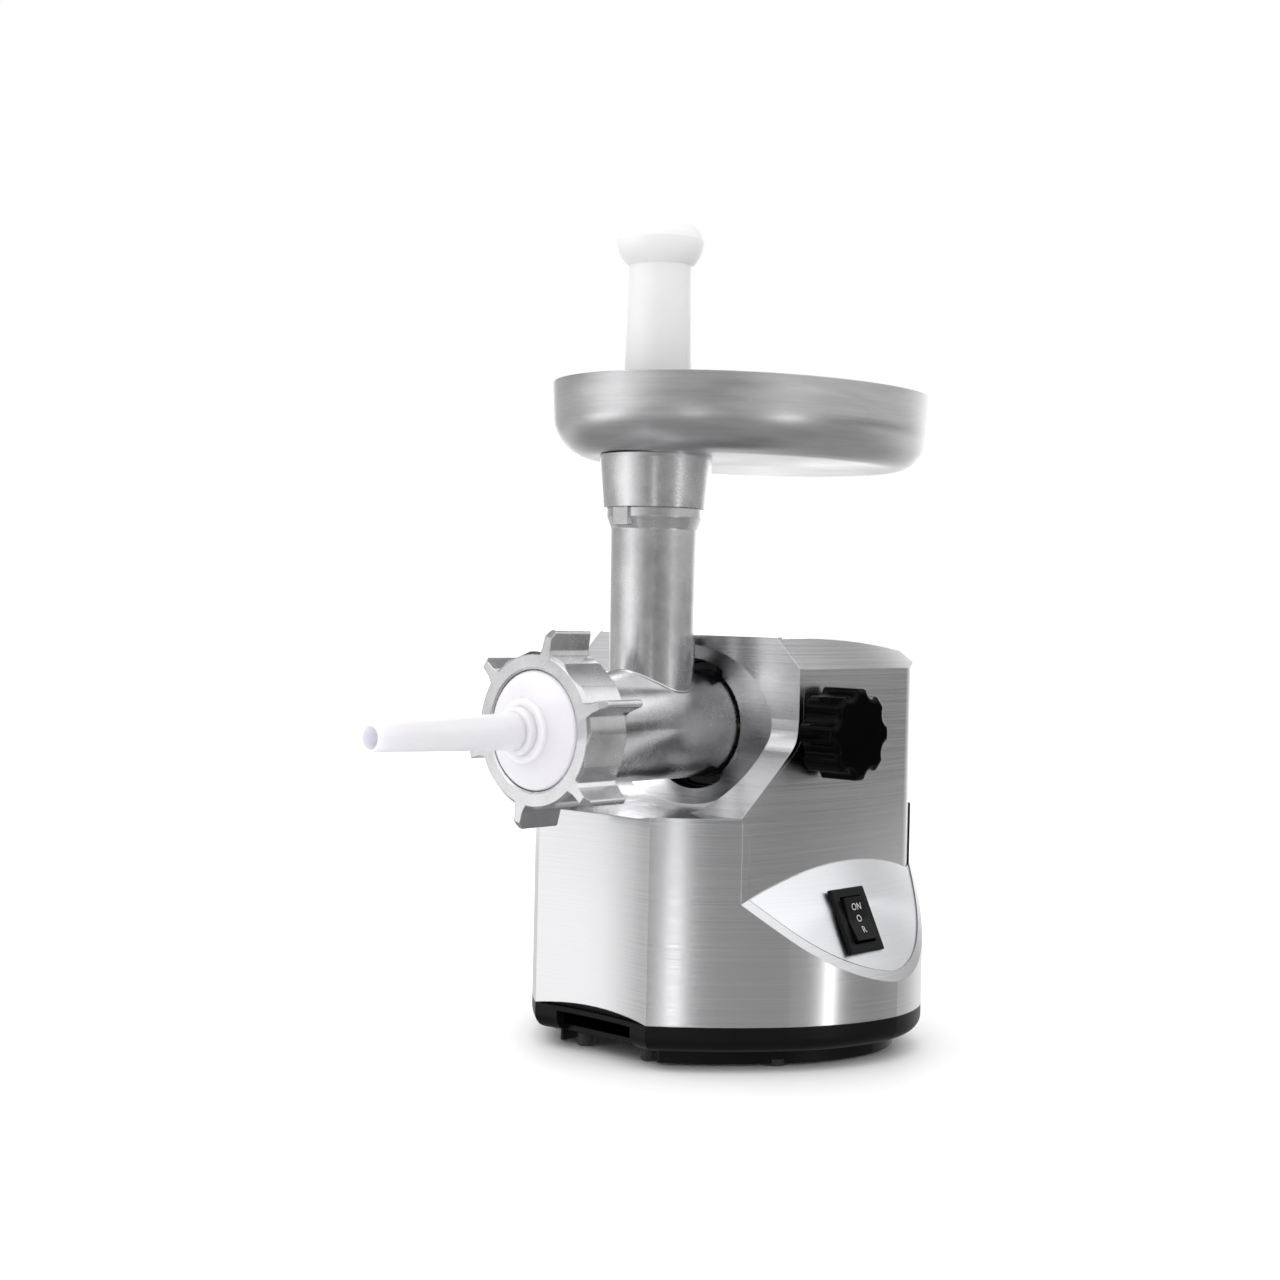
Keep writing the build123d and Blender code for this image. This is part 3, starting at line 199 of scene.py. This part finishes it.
def machined_metal(name, dark, light, rough, turning=(1400, 8, 1400)):
    """Ground or turned metal with faint tool lines."""
    material, tree, shader = new_material(name)
    lines = noise(tree, object_coordinates(tree, turning), 1.0, 2.0)
    cloud = noise(tree, object_coordinates(tree), 60.0, 3.0)
    plug(tree, two_colours(tree, cloud, dark, light), shader.inputs["Base Color"])
    plug(tree, spread(tree, lines, rough[0], rough[1]), shader.inputs["Roughness"])
    shader.inputs["Metallic"].default_value = 1.0
    plug(tree, bump(tree, lines, 0.15, 0.05 * MM, rounded_normal(tree, 0.3 * MM)), shader.inputs["Normal"])
    return material


def moulded_plastic(name, dark, light, rough, grain_scale=1500.0, strength=0.1, edge=0.5 * MM, coat=0.0,
                    specular=0.5, subsurface=0.0, radius=(0.004, 0.004, 0.004)):
    """Moulded plastic: faint colour drift and a fine surface grain."""
    material, tree, shader = new_material(name)
    drift = noise(tree, object_coordinates(tree), 30.0, 3.0)
    grain = noise(tree, object_coordinates(tree), grain_scale, 2.0)
    plug(tree, two_colours(tree, drift, dark, light), shader.inputs["Base Color"])
    plug(tree, spread(tree, grain, rough[0], rough[1]), shader.inputs["Roughness"])
    shader.inputs["Coat Weight"].default_value = coat
    shader.inputs["Specular IOR Level"].default_value = specular
    shader.inputs["Coat Roughness"].default_value = COAT_ROUGHNESS
    shader.inputs["Subsurface Weight"].default_value = subsurface
    shader.inputs["Subsurface Radius"].default_value = radius
    shader.inputs["Subsurface Scale"].default_value = 1.0
    plug(tree, bump(tree, grain, strength, 0.05 * MM, rounded_normal(tree, edge)), shader.inputs["Normal"])
    return material


def spun_aluminium(name):
    """Satin tray metal with level polishing lines and cloudy tone."""
    material, tree, shader = new_material(name)
    level = noise(tree, object_coordinates(tree, (14, 14, 1900)), 1.0, 3.0, 0.6)
    cloud = noise(tree, object_coordinates(tree, (14, 14, 90)), 1.0, 4.0, 0.6)
    slow = spread(tree, cloud, 0.0, 1 - TRAY_LINE_SHARE)
    tone = math_node(tree, "MULTIPLY_ADD", level, TRAY_LINE_SHARE, slow)
    plug(tree, two_colours(tree, tone, (0.52, 0.52, 0.53), (0.78, 0.78, 0.79), (0.1, 0.9)),
         shader.inputs["Base Color"])
    plug(tree, spread(tree, tone, 0.26, 0.4, (0.1, 0.9)), shader.inputs["Roughness"])
    shader.inputs["Metallic"].default_value = 1.0
    plug(tree, bump(tree, level, 0.2, 0.06 * MM, rounded_normal(tree, 0.6 * MM)), shader.inputs["Normal"])
    return material


def copper_windings(name):
    material, tree, shader = new_material(name)
    wires = noise(tree, object_coordinates(tree, (30, 1800, 1800)), 1.0, 1.0)
    plug(tree, two_colours(tree, wires, (0.30, 0.09, 0.035), (0.66, 0.27, 0.11)),
         shader.inputs["Base Color"])
    plug(tree, spread(tree, wires, 0.2, 0.4), shader.inputs["Roughness"])
    shader.inputs["Metallic"].default_value = 1.0
    plug(tree, bump(tree, wires, 0.6, 0.3 * MM), shader.inputs["Normal"])
    return material


materials = {
    "brushed_steel": brushed_steel("brushed_steel", (0.56, 0.56, 0.57), (0.68, 0.68, 0.69),
                                   (0.19, 0.27), 0.14),
    "label_satin": brushed_steel("label_satin", (0.74, 0.75, 0.77), (0.84, 0.85, 0.87),
                                 (0.34, 0.42), 0.08),
    "black_plastic": moulded_plastic("black_plastic", (0.003, 0.003, 0.0035), (0.005, 0.005, 0.0055),
                                     (0.3, 0.42), specular=0.12),
    "knob_black": moulded_plastic("knob_black", (0.0006, 0.0006, 0.0007), (0.0012, 0.0012, 0.0013),
                                  (0.08, 0.14), strength=0.03, edge=0.9 * MM, specular=0.06),
    "rubber": moulded_plastic("rubber", (0.016, 0.016, 0.016), (0.03, 0.03, 0.03), (0.6, 0.8), 700.0, 0.4),
    "cast_aluminium": cast_metal("cast_aluminium", (0.56, 0.56, 0.57), (0.80, 0.80, 0.81), (0.18, 0.32)),
    "tray_aluminium": spun_aluminium("tray_aluminium"),
    "tool_steel": machined_metal("tool_steel", (0.42, 0.42, 0.44), (0.56, 0.56, 0.58), (0.2, 0.32)),
    "white_plastic": moulded_plastic("white_plastic", (0.74, 0.74, 0.74), (0.78, 0.78, 0.78), (0.32, 0.42),
                                     300.0, 0.05, subsurface=0.25),
    "nozzle_plastic": moulded_plastic("nozzle_plastic", (0.82, 0.80, 0.89), (0.88, 0.86, 0.94), (0.28, 0.36),
                                      400.0, 0.05, subsurface=0.6, radius=(0.007, 0.007, 0.008)),
    "gear_plastic": moulded_plastic("gear_plastic", (0.68, 0.64, 0.52), (0.76, 0.73, 0.62), (0.35, 0.5),
                                    subsurface=0.1),
    "bronze": machined_metal("bronze", (0.48, 0.31, 0.14), (0.62, 0.43, 0.22), (0.3, 0.45)),
    "brass": machined_metal("brass", (0.68, 0.48, 0.19), (0.80, 0.60, 0.28), (0.2, 0.32)),
    "copper": copper_windings("copper"),
    "lamination": machined_metal("lamination", (0.24, 0.24, 0.26), (0.36, 0.36, 0.38), (0.35, 0.55),
                                 (40, 2600, 40)),
    "zinc": machined_metal("zinc", (0.56, 0.56, 0.58), (0.68, 0.68, 0.70), (0.22, 0.36)),
    "carbon": moulded_plastic("carbon", (0.02, 0.02, 0.02), (0.045, 0.045, 0.045), (0.5, 0.7), 800.0, 0.4),
    "grey_plastic": moulded_plastic("grey_plastic", (0.20, 0.21, 0.22), (0.25, 0.26, 0.27), (0.4, 0.5)),
}


def dress(obj, slot_name):
    obj.data.materials.clear()
    obj.data.materials.append(materials[slot_name])


slot_of = {part["node"]: part["material_slot"] for part in record["subparts"]}

for name, node in nodes.items():
    dress(node, slot_of[name])

# ------------------------------------------------------------------ pieces on the frame

def new_piece(name, mesh, body, slot_name):
    piece = bpy.data.objects.new(name, mesh)
    scene.collection.objects.link(piece)
    dress(piece, slot_name)
    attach(piece, body)
    return piece


FACET_TILT = math.radians(26)   # how far the control facet leans back from upright
ROCKER_BACK = 6.27 * MM         # from the rocker's lowest x to its pin
ROCKER_UNDER = 9.77 * MM        # from the rocker's lowest z to its pin
MARK_SIZE = 4.9 * MM
MARK_PITCH = 5.9 * MM
MARK_RISE = 3.0 * MM            # the rocker's face above its pin, at the middle
MARK_SLOPE = math.radians(8.8)  # how far each half of the face leans
MARK_GAP = 0.1 * MM             # between the face and a mark on one half of it
CREASE_GAP = 0.3 * MM           # the same for the mark across the crease
MARK_THICKNESS = 0.04 * MM


def switch_mark(name, letters, step):
    """White switch position printed on the rocker's face, a step above or below its middle."""
    text = bpy.data.curves.new(name, "FONT")
    text.body = letters
    text.size = MARK_SIZE
    text.extrude = MARK_THICKNESS
    text.align_x = "CENTER"
    text.align_y = "CENTER"
    text.resolution_u = 4
    holder = bpy.data.objects.new(name + "_text", text)
    mesh = bpy.data.meshes.new_from_object(holder)
    bpy.data.objects.remove(holder)
    lowest, highest = (Vector(corner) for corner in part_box("switch_rocker"))
    pin = Vector((lowest.x + ROCKER_BACK, (lowest.y + highest.y) / 2, lowest.z + ROCKER_UNDER))
    up = Vector((-math.sin(FACET_TILT), 0, math.cos(FACET_TILT)))
    out = Vector((math.cos(FACET_TILT), 0, math.sin(FACET_TILT)))
    facet = Matrix((Vector((0, 1, 0)), up, out)).transposed().to_4x4()
    gap = MARK_GAP if step else CREASE_GAP
    rise = MARK_RISE + abs(step) * MARK_PITCH * math.tan(MARK_SLOPE) + gap
    place = Matrix.Translation((0, step * MARK_PITCH, rise)) @ Matrix.Rotation(step * MARK_SLOPE, 4, "X")
    mesh.transform(Matrix.Translation(pin) @ facet @ place)
    new_piece(name, mesh, "rocker", "white_plastic")


switch_mark("mark_on", "ON", 1)
switch_mark("mark_off", "O", 0)
switch_mark("mark_reverse", "R", -1)

AXIS_Z = 162 * MM               # barrel axis
TUBE_Y = -2.675 * MM            # feed tube axis
BARREL_RADIUS = 27.6 * MM
TUBE_FOOT_RADIUS = 21.3 * MM
LUG_RADIUS = 31.6 * MM
LUG_HALF_WIDTH = 9.0 * MM
LUG_FRONT_Y = 43 * MM + TUBE_Y
# Sizes of the black blocks that put painted shade into the socket's notches above and below the barrel
SHADE_PAD_DEPTH = 2.6 * MM
SHADE_PAD_GAP = 0.05 * MM
SHADE_PAD_STEPS = 10
BEAD_RADIUS = 0.75 * MM
BEAD_POINTS = 72


def painted_shade_pad(name, side):
    """Black block with the rubber material in front of a bayonet lug, filling the socket's notch: painted
    shade standing in for the shadowed gap there.
    """
    inner, outer = BARREL_RADIUS + SHADE_PAD_GAP, LUG_RADIUS - 2 * SHADE_PAD_GAP
    half = LUG_HALF_WIDTH - 2 * SHADE_PAD_GAP
    arc = [half * (2 * k / SHADE_PAD_STEPS - 1) for k in range(SHADE_PAD_STEPS + 1)]
    rim = [(x, math.sqrt(outer ** 2 - x ** 2)) for x in arc]
    rim += [(x, math.sqrt(inner ** 2 - x ** 2)) for x in reversed(arc)]
    work = bmesh.new()
    fronts, backs = (
        [work.verts.new((x, y, AXIS_Z + side * r)) for x, r in rim]
        for y in (LUG_FRONT_Y - SHADE_PAD_DEPTH, LUG_FRONT_Y - SHADE_PAD_GAP))
    count = len(rim)
    last = count - 1
    for k in range(SHADE_PAD_STEPS):
        for row in (fronts, backs):
            work.faces.new((row[k], row[k + 1], row[last - k - 1], row[last - k]))
    for k in range(count):
        j = (k + 1) % count
        work.faces.new((fronts[k], fronts[j], backs[j], backs[k]))
    bmesh.ops.recalc_face_normals(work, faces=work.faces)
    mesh = bpy.data.meshes.new(name)
    work.to_mesh(mesh)
    work.free()
    piece = new_piece(name, mesh, "head", "rubber")
    soften = piece.modifiers.new("soften", "BEVEL")
    soften.width = 0.35 * MM
    soften.segments = 2


# Black blocks at the top and bottom of the socket: painted shade where the notches lie in shadow
painted_shade_pad("lug_seal_top", 1)
painted_shade_pad("lug_seal_bottom", -1)


def saddle_bead():
    """Bright rounded line where the feed tube runs into the barrel."""
    curve = bpy.data.curves.new("saddle_bead", "CURVE")
    curve.dimensions = "3D"
    curve.bevel_depth = BEAD_RADIUS
    curve.bevel_resolution = 3
    spline = curve.splines.new("POLY")
    spline.points.add(BEAD_POINTS - 1)
    for k, point in enumerate(spline.points):
        turn = 2 * math.pi * k / BEAD_POINTS
        x, y = TUBE_FOOT_RADIUS * math.cos(turn), TUBE_FOOT_RADIUS * math.sin(turn)
        point.co = (x, TUBE_Y + y, AXIS_Z + math.sqrt(BARREL_RADIUS ** 2 - x ** 2), 1)
    spline.use_cyclic_u = True
    new_piece("saddle_bead", curve, "head", "cast_aluminium")


saddle_bead()

# ------------------------------------------------------------------ floor, light and camera

FLOOR_REACH = 6.0
floor_corners = [(x * FLOOR_REACH, y * FLOOR_REACH, 0) for x, y in ((-1, -1), (1, -1), (1, 1), (-1, 1))]
floor_mesh = bpy.data.meshes.new("floor")
floor_mesh.from_pydata(floor_corners, [], [(0, 1, 2, 3)])
floor = bpy.data.objects.new("floor", floor_mesh)
scene.collection.objects.link(floor)
paper, paper_tree, paper_shader = new_material("floor_paper")
plug(paper_tree, two_colours(paper_tree, noise(paper_tree, object_coordinates(paper_tree), 3.0, 2.0),
                             (0.93, 0.93, 0.93), (0.95, 0.95, 0.95)), paper_shader.inputs["Base Color"])
paper_shader.inputs["Roughness"].default_value = 0.6
floor_mesh.materials.append(paper)

world = bpy.data.worlds.new("studio")
scene.world = world
world.use_nodes = True
background = world.node_tree.nodes["Background"]
background.inputs["Color"].default_value = (1.0, 1.0, 1.0, 1)
background.inputs["Strength"].default_value = 1.0
scene.view_settings.view_transform = "Standard"

AIM = Vector((0.0, 0.0, 0.17))
TENT_RADIUS = 4.0
TENT_GAIN = 7.0                 # the brightest value: ramps hold tones up to 1, so they are divided by it
# Brightness of the reflecting tent by compass direction (0 in front, 90 on the right, 180 behind),
# in four rings from the floor up.
LOWER_RING = ((-180, 1.0), (-120, 0.8), (-60, 0.6), (-46, 1.75), (-24, 1.75), (-5, 0.6), (33, 0.45),
              (37, 0.6), (38.5, 4.0), (40.5, 4.0), (42, 0.8), (48, 0.5), (70, 0.4), (84, 0.6), (92, 1.4),
              (93.5, 5.0), (96, 5.0), (97.5, 0.9), (106, 0.4), (122, 0.35), (139, 0.5), (180, 1.0))
BELT_RING = ((-180, 1.4), (-150, 2.4), (-125, 2.0), (-112, 0.5), (-95, 0.5), (-80, 0.6), (-60, 0.6),
             (-43, 0.9), (-20, 1.3), (-6, 0.9), (20, 0.3), (50, 0.2), (78, 0.25), (103, 0.45), (118, 0.3),
             (128, 0.08), (160, 0.08), (168, 0.5), (180, 1.4))
MIDDLE_RING = ((-180, 1.4), (-150, 3.0), (-130, 3.0), (-115, 0.7), (-87, 0.5), (-60, 0.5), (-43, 0.8),
               (-20, 1.2), (-6, 0.9), (20, 0.45), (50, 0.3), (70, 0.45), (90, 0.7), (140, 0.7), (165, 0.6),
               (180, 1.4))
UPPER_RING = ((-180, 0.5), (-140, 0.9), (-125, 0.2), (-110, 0.03), (-80, 0.03), (-65, 0.6), (-40, 1.3),
              (60, 1.4), (100, 1.5), (118, 1.5), (150, 1.4), (162, 0.8), (174, 0.4), (180, 0.5))
ZENITH = 0.95
NADIR = 0.35
HIGH_PANEL = ((-20, 42), 7.0)


def compass(azimuth, elevation):
    """Unit vector; azimuth 0 points to the front and 90 to the right."""
    a, e = math.radians(azimuth), math.radians(elevation)
    return Vector((math.sin(a) * math.cos(e), -math.cos(a) * math.cos(e), math.sin(e)))


def ring_tone(tree, place, stops):
    """One ring of the tent as brightness over its compass direction, divided by the tent's gain."""
    ramp = tree.nodes.new("ShaderNodeValToRGB")
    elements = ramp.color_ramp.elements
    elements.remove(elements[-1])
    for index, (degrees, value) in enumerate(stops):
        position = (degrees + 180) / 360
        stop = elements[0] if index == 0 else elements.new(position)
        stop.position = position
        tone = value / TENT_GAIN
        stop.color = (tone, tone, tone, 1)
    plug(tree, place, ramp.inputs["Fac"])
    channels = tree.nodes.new("ShaderNodeSeparateColor")
    plug(tree, ramp.outputs["Color"], channels.inputs["Color"])
    return channels.outputs["Red"]


def studio_tent():
    """Dome that shows only in reflections: bright panels with darker gaps round the object."""
    mesh = bpy.data.meshes.new("studio_tent")
    work = bmesh.new()
    bmesh.ops.create_uvsphere(work, u_segments=48, v_segments=24, radius=TENT_RADIUS)
    work.to_mesh(mesh)
    work.free()
    tent = bpy.data.objects.new("studio_tent", mesh)
    tent.location = AIM
    scene.collection.objects.link(tent)
    material = bpy.data.materials.new("tent_cloth")
    material.use_nodes = True
    tree = material.node_tree
    tree.nodes.remove(tree.nodes["Principled BSDF"])
    coords = tree.nodes.new("ShaderNodeTexCoord")
    parts = tree.nodes.new("ShaderNodeSeparateXYZ")
    plug(tree, coords.outputs["Object"], parts.inputs["Vector"])
    backwards = math_node(tree, "MULTIPLY", parts.outputs["Y"], -1.0)
    turn = math_node(tree, "ARCTAN2", parts.outputs["X"], backwards)
    place = math_node(tree, "MULTIPLY_ADD", turn, 1 / (2 * math.pi), 0.5)
    height = math_node(tree, "DIVIDE", parts.outputs["Z"], TENT_RADIUS)
    lower, belt, middle, upper = (
        ring_tone(tree, place, ring) for ring in (LOWER_RING, BELT_RING, MIDDLE_RING, UPPER_RING))
    tone = blended(tree, spread(tree, height, 0.0, 1.0, (-0.14, -0.09)), lower, belt)
    tone = blended(tree, spread(tree, height, 0.0, 1.0, (-0.03, 0.02)), tone, middle)
    tone = blended(tree, spread(tree, height, 0.0, 1.0, (0.3, 0.5)), tone, upper)
    tone = towards(tree, spread(tree, height, 0.0, 1.0, (0.8, 0.97)), tone, ZENITH / TENT_GAIN)
    tone = towards(tree, spread(tree, height, 1.0, 0.0, (-0.45, -0.25)), tone, NADIR / TENT_GAIN)
    (panel_turn, panel_height), panel_glow = HIGH_PANEL
    facing = tree.nodes.new("ShaderNodeVectorMath")
    facing.operation = "DOT_PRODUCT"
    plug(tree, coords.outputs["Object"], facing.inputs[0])
    facing.inputs[1].default_value = compass(panel_turn, panel_height) / TENT_RADIUS
    panel = spread(tree, facing.outputs["Value"], 0.0, 1.0, (0.985, 0.992))
    tone = towards(tree, panel, tone, panel_glow / TENT_GAIN)
    glow = tree.nodes.new("ShaderNodeEmission")
    plug(tree, math_node(tree, "MULTIPLY", tone, TENT_GAIN), glow.inputs["Strength"])
    plug(tree, glow.outputs["Emission"], tree.nodes["Material Output"].inputs["Surface"])
    mesh.materials.append(material)
    tent.visible_camera = False
    tent.visible_diffuse = False
    tent.visible_transmission = False
    tent.visible_shadow = False


studio_tent()
floor.visible_glossy = False


def softbox(name, azimuth, elevation, distance, size, power):
    """Area light aimed at the object; azimuth 0 stands in front, 90 on the right."""
    away = compass(azimuth, elevation)
    lamp = bpy.data.lights.new(name, "AREA")
    lamp.shape = "RECTANGLE"
    lamp.size, lamp.size_y = size
    lamp.energy = power
    holder = bpy.data.objects.new(name, lamp)
    holder.location = AIM + away * distance
    holder.rotation_mode = "QUATERNION"
    holder.rotation_quaternion = (-away).to_track_quat("-Z", "Y")
    holder.visible_glossy = False
    scene.collection.objects.link(holder)


softbox("key_left", -50, 48, 1.5, (0.8, 0.8), 5)
softbox("top", 0, 85, 1.6, (1.2, 1.2), 5)

ceiling = bpy.data.lights.new("ceiling", "SUN")
ceiling.energy = 0.5
ceiling.angle = math.radians(120)   # very soft, so that the floor turns white without a hard shadow
ceiling_holder = bpy.data.objects.new("ceiling", ceiling)
ceiling_holder.visible_glossy = False
scene.collection.objects.link(ceiling_holder)

CAMERA_PLACE = (0.66493, -0.72905, 0.22342)
CAMERA_YAW, CAMERA_PITCH, CAMERA_ROLL = (math.radians(angle) for angle in (42.83, -1.09, 1.25))
CAMERA_LENS = 55.18

camera_data = bpy.data.cameras.new("photo_camera")
camera_data.sensor_width = 36.0
camera_data.lens = CAMERA_LENS
camera_data.clip_start, camera_data.clip_end = 0.02, 50.0
camera = bpy.data.objects.new("photo_camera", camera_data)
scene.collection.objects.link(camera)
scene.camera = camera
ahead = Vector((-math.sin(CAMERA_YAW) * math.cos(CAMERA_PITCH),
                math.cos(CAMERA_YAW) * math.cos(CAMERA_PITCH), math.sin(CAMERA_PITCH)))
level_right = Vector((math.cos(CAMERA_YAW), math.sin(CAMERA_YAW), 0.0))
level_up = level_right.cross(ahead)
camera_right = level_right * math.cos(CAMERA_ROLL) + level_up * math.sin(CAMERA_ROLL)
camera_up = level_up * math.cos(CAMERA_ROLL) - level_right * math.sin(CAMERA_ROLL)
facing_photo = Matrix((camera_right, camera_up, -ahead)).transposed().to_4x4()
camera.matrix_world = Matrix.Translation(CAMERA_PLACE) @ facing_photo

# ------------------------------------------------------------------ update

bpy.context.view_layer.update()
